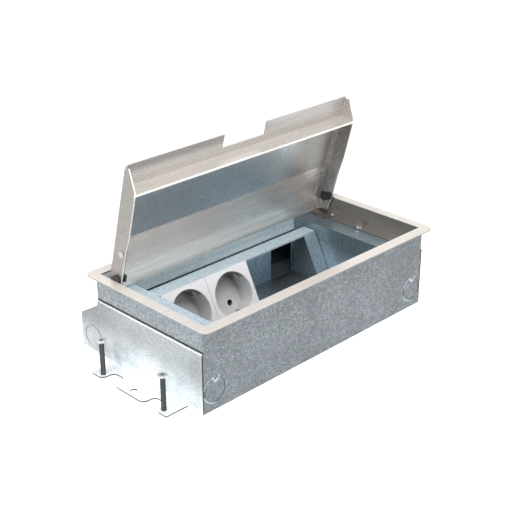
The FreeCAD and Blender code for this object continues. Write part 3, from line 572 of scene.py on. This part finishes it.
# Nodes whose finish differs within their slot, left and right alike
SPECIAL = {
    "end_plate": end_plate_finish(),
    "cable_duct": duct_finish(),
    "end_bracket": end_bracket_finish(),
    "socket_carrier": carrier_finish(),
    "lid_cover": lid_finish(),
    "lid_stiffener": stiffener_finish(),
    "hinge_bracket": zinc("hinge_zinc", *HINGE_TONES, rough=0.34, metallic=0.6).material,
    "contact_sleeves": turned_metal("contact_tin", *TIN_TONES, rough=0.35).material,
}

for entry in frame["record"]["subparts"]:
    kind = entry["node"].removesuffix("_left").removesuffix("_right")
    finish = SPECIAL.get(kind, MATERIALS[entry["material_slot"]])
    materials = frame["nodes"][entry["node"]].data.materials
    materials.clear()
    materials.append(finish)


# Levelling screws, with the thread and cross recess that the CAD ones lack
SCREW_RADIUS = 2.0 * MM
SCREW_HEAD_RADIUS = 3.8 * MM
SCREW_HEAD_HEIGHT = 2.3 * MM
HEAD_RIM = 0.15 * MM
HEAD_RIM_TAPER = 0.1 * MM
HEAD_BEVEL = 0.08 * MM
SCREW_PITCH = 0.7 * MM
THREAD_DEPTH = 0.32 * MM
THREAD_START = 0.25 * MM
THREAD_RUNOUT = 0.4 * MM
LEVELS_PER_TURN = 6
SCREW_SIDES = 24
RECESS_LENGTH = 4.4 * MM
RECESS_WIDTH = 0.9 * MM
RECESS_DEPTH = 1.3 * MM
RECESS_TAPER = 0.55
RECESS_MARGIN = 0.5 * MM
SHADE_DEPTHS = (0.05 * MM, 1.6 * MM)
SHADE_RADIUS = 2.3 * MM
SCREW_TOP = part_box("level_screw_front_left")[1].z


def screw_finish():
    """Bright zinc on the head, dark on the shaft."""
    surface = Surface("leveller_zinc", metallic=1.0)
    spots = surface.noise(surface.place, SPOT_SCALE, rough=0.6)
    bright = surface.blend(spots, *SCREW_HEAD_TONES)
    under_head = SCREW_TOP - SCREW_HEAD_HEIGHT
    head = surface.between("Z", under_head - 0.3 * MM, under_head)
    surface.colour(surface.blend(head, SCREW_SHAFT_TONE, bright))
    surface.roughness(spots, 0.35)
    surface.bump(spots, BRUSH_DEPTH)
    return surface.material


SCREW_FINISH = screw_finish()
# Painted shade: a dark material for the cross recess in the screw heads.
RECESS_SHADE = turned_metal("recess_shade", *RECESS_SHADE_TONES, rough=0.5).material


def new_object(name, mesh):
    """An object in the scene with the shape of a bmesh, which is then freed."""
    data = bpy.data.meshes.new(name)
    mesh.to_mesh(data)
    mesh.free()
    item = bpy.data.objects.new(name, data)
    bpy.context.scene.collection.objects.link(item)
    return item


def ring(mesh, radius_at, height):
    """A closed ring of points about the Z axis, with its radius a function of the angle."""
    loop = []
    for index in range(SCREW_SIDES):
        angle = 2.0 * math.pi * index / SCREW_SIDES
        radius = radius_at(angle)
        loop.append(mesh.verts.new((radius * math.cos(angle), radius * math.sin(angle), height)))
    return loop


def bridge(mesh, low, high):
    """A band of faces between two rings."""
    count = len(low)
    for index in range(count):
        follower = (index + 1) % count
        mesh.faces.new((low[index], low[follower], high[follower], high[index]))


def thread_radius(height, angle):
    """The thread's radius, which falls and rises once in each pitch."""
    turn = (height / SCREW_PITCH - angle / (2 * math.pi)) % 1.0
    return SCREW_RADIUS - THREAD_DEPTH * abs(2 * turn - 1)


def screw_shape(bottom, top):
    """A countersunk machine screw with its thread, about the Z axis."""
    mesh = bmesh.new()
    thread_top = top - SCREW_HEAD_HEIGHT - THREAD_RUNOUT
    previous = ring(mesh, lambda angle: SCREW_RADIUS - THREAD_DEPTH, bottom)
    mesh.faces.new(list(reversed(previous)))
    height = bottom + THREAD_START
    while height < thread_top:
        current = ring(mesh, lambda angle, level=height: thread_radius(level, angle), height)
        bridge(mesh, previous, current)
        previous = current
        height += SCREW_PITCH / LEVELS_PER_TURN
    for radius, level in (
        (SCREW_RADIUS, thread_top + THREAD_RUNOUT / 2),
        (SCREW_RADIUS, top - SCREW_HEAD_HEIGHT),
        (SCREW_HEAD_RADIUS - HEAD_RIM_TAPER, top - HEAD_RIM),
        (SCREW_HEAD_RADIUS, top - HEAD_BEVEL),
        (SCREW_HEAD_RADIUS - HEAD_BEVEL, top),
    ):
        current = ring(mesh, lambda angle, size=radius: size, level)
        bridge(mesh, previous, current)
        previous = current
    mesh.faces.new(previous)
    bmesh.ops.recalc_face_normals(mesh, faces=mesh.faces)
    return mesh


def recess_shape(top):
    """Two crossed bars, narrower below, that cut the recess."""
    mesh = bmesh.new()
    for length, width in ((RECESS_LENGTH, RECESS_WIDTH), (RECESS_WIDTH, RECESS_LENGTH)):
        for corner in bmesh.ops.create_cube(mesh, size=1.0)["verts"]:
            upper = corner.co.z > 0
            taper = 1.0 if upper else RECESS_TAPER
            corner.co.x *= length * taper
            corner.co.y *= width * taper
            corner.co.z = top + RECESS_MARGIN if upper else top - RECESS_DEPTH
    return mesh


def cut_away(piece, cutter):
    """Take the cutter's shape out of the piece, and remove the cutter."""
    modifier = piece.modifiers.new("recess", "BOOLEAN")
    modifier.operation = "DIFFERENCE"
    modifier.solver = "EXACT"
    modifier.use_self = True
    modifier.object = cutter
    bpy.context.view_layer.update()
    evaluated = piece.evaluated_get(bpy.context.evaluated_depsgraph_get())
    result = bpy.data.meshes.new_from_object(evaluated)
    piece.modifiers.clear()
    piece.data = result
    bpy.data.objects.remove(cutter)


def shade_recess(piece, top):
    """Painted shade, a dark material, on the cross recess, and the screw's own finish on the rest."""
    piece.data.materials.clear()
    piece.data.materials.append(SCREW_FINISH)
    piece.data.materials.append(RECESS_SHADE)
    shallow, deep = SHADE_DEPTHS
    for face in piece.data.polygons:
        radial = math.hypot(face.center.x, face.center.y)
        in_head = shallow < top - face.center.z < deep
        face.material_index = 1 if in_head and radial < SHADE_RADIUS else 0


def threaded_screw(name, node, body):
    """A levelling screw in place of the plain CAD one."""
    low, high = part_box(node)
    piece = new_object(name, screw_shape(low.z, high.z))
    cut_away(piece, new_object(name + "_cutter", recess_shape(high.z)))
    shade_recess(piece, high.z)
    for vertex in piece.data.vertices:
        vertex.co.x += (low.x + high.x) / 2
        vertex.co.y += (low.y + high.y) / 2
    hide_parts(node)
    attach(piece, body)


for end in ("front", "rear"):
    for side in ("left", "right"):
        tag = end + "_" + side
        threaded_screw("leveller_thread_" + tag, "level_screw_" + tag, "leveller_" + tag)


# Floor, lights and camera
FLOOR_REACH = 4.0
FLOOR_GAP = 0.05 * MM
FLOOR_GREY = (0.8, 0.8, 0.8, 1)
FLOOR_SEEN_GREY = (0.5, 0.5, 0.5, 1)
FLOOR_GLOW = 0.62
FLOOR_GLOW_SEEN = 0.84
WORLD_LIGHT = 0.3
LAMP_TARGET = (0, 0, 0.03)


def add_floor():
    """A white floor that takes the shadow. It glows for the camera and in reflections alone."""
    data = bpy.data.meshes.new("floor")
    corners = [(-1, -1), (1, -1), (1, 1), (-1, 1)]
    data.from_pydata([(x * FLOOR_REACH, y * FLOOR_REACH, 0) for x, y in corners], [], [(0, 1, 2, 3)])
    floor = bpy.data.objects.new("floor", data)
    bpy.context.scene.collection.objects.link(floor)
    floor.location.z = -FLOOR_GAP
    material = bpy.data.materials.new("floor")
    material.use_nodes = True
    tree = material.node_tree
    tree.nodes.clear()
    output = tree.nodes.new("ShaderNodeOutputMaterial")
    path = tree.nodes.new("ShaderNodeLightPath")
    diffuse = tree.nodes.new("ShaderNodeBsdfDiffuse")
    diffuse.inputs["Color"].default_value = FLOOR_GREY
    seen = tree.nodes.new("ShaderNodeBsdfDiffuse")
    seen.inputs["Color"].default_value = FLOOR_SEEN_GREY
    glow = tree.nodes.new("ShaderNodeEmission")
    strength = tree.nodes.new("ShaderNodeMapRange")
    strength.inputs["To Min"].default_value = FLOOR_GLOW
    strength.inputs["To Max"].default_value = FLOOR_GLOW_SEEN
    together = tree.nodes.new("ShaderNodeAddShader")
    either = tree.nodes.new("ShaderNodeMath")
    either.operation = "MAXIMUM"
    mix = tree.nodes.new("ShaderNodeMixShader")
    links = tree.links
    links.new(path.outputs["Is Camera Ray"], either.inputs[0])
    links.new(path.outputs["Is Glossy Ray"], either.inputs[1])
    links.new(path.outputs["Is Camera Ray"], strength.inputs["Value"])
    links.new(strength.outputs["Result"], glow.inputs["Strength"])
    links.new(seen.outputs[0], together.inputs[0])
    links.new(glow.outputs[0], together.inputs[1])
    links.new(either.outputs[0], mix.inputs[0])
    links.new(diffuse.outputs[0], mix.inputs[1])
    links.new(together.outputs[0], mix.inputs[2])
    links.new(mix.outputs[0], output.inputs["Surface"])
    data.materials.append(material)


def set_world():
    """White where the camera, a reflection or a clear material looks, and dimmer as a lamp."""
    world = bpy.data.worlds.new("studio")
    bpy.context.scene.world = world
    world.use_nodes = True
    tree = world.node_tree
    background = tree.nodes["Background"]
    path = tree.nodes.new("ShaderNodeLightPath")
    first = tree.nodes.new("ShaderNodeMath")
    first.operation = "MAXIMUM"
    second = tree.nodes.new("ShaderNodeMath")
    second.operation = "MAXIMUM"
    level = tree.nodes.new("ShaderNodeMapRange")
    level.inputs["To Min"].default_value = WORLD_LIGHT
    level.inputs["To Max"].default_value = 1.0
    tree.links.new(path.outputs["Is Camera Ray"], first.inputs[0])
    tree.links.new(path.outputs["Is Glossy Ray"], first.inputs[1])
    tree.links.new(first.outputs[0], second.inputs[0])
    tree.links.new(path.outputs["Is Transmission Ray"], second.inputs[1])
    tree.links.new(second.outputs[0], level.inputs["Value"])
    tree.links.new(level.outputs["Result"], background.inputs["Strength"])
    background.inputs["Color"].default_value = (1, 1, 1, 1)


def area_light(name, place, size, power):
    """A square lamp, in metres and watts, that points at the box."""
    lamp = bpy.data.lights.new(name, "AREA")
    lamp.shape = "SQUARE"
    lamp.size = size
    lamp.energy = power
    item = bpy.data.objects.new(name, lamp)
    bpy.context.scene.collection.objects.link(item)
    item.location = place
    direction = Vector(LAMP_TARGET) - Vector(place)
    item.rotation_euler = direction.to_track_quat("-Z", "Y").to_euler()


def set_camera():
    """The photograph's own camera."""
    azimuth = math.radians(CAMERA_AZIMUTH)
    elevation = math.radians(CAMERA_ELEVATION)
    forward = Vector(
        (
            -math.sin(azimuth) * math.cos(elevation),
            math.cos(azimuth) * math.cos(elevation),
            -math.sin(elevation),
        )
    )
    right = forward.cross(Vector((0, 0, 1))).normalized()
    up = right.cross(forward)
    roll = math.radians(CAMERA_ROLL)
    right, up = (
        right * math.cos(roll) + up * math.sin(roll),
        up * math.cos(roll) - right * math.sin(roll),
    )
    place = (CAMERA_TARGET - forward * CAMERA_DISTANCE) * MM
    turn = Matrix((right, up, -forward)).transposed().to_4x4()
    data = bpy.data.cameras.new("camera")
    data.sensor_width = 36.0
    data.lens = CAMERA_FOCAL_PIXELS * data.sensor_width / IMAGE_SIZE
    data.clip_start = 0.01
    data.clip_end = 50.0
    camera = bpy.data.objects.new("camera", data)
    bpy.context.scene.collection.objects.link(camera)
    camera.matrix_world = Matrix.Translation(place) @ turn
    bpy.context.scene.camera = camera


add_floor()
set_world()
area_light("key", place=(-0.15, -0.30, 0.85), size=0.45, power=7.5)
area_light("side", place=(-0.9, -0.05, 0.4), size=0.5, power=6.5)
area_light("front", place=(0.15, -1.0, 0.42), size=0.4, power=2.5)
set_camera()
bpy.context.scene.view_settings.view_transform = "Standard"
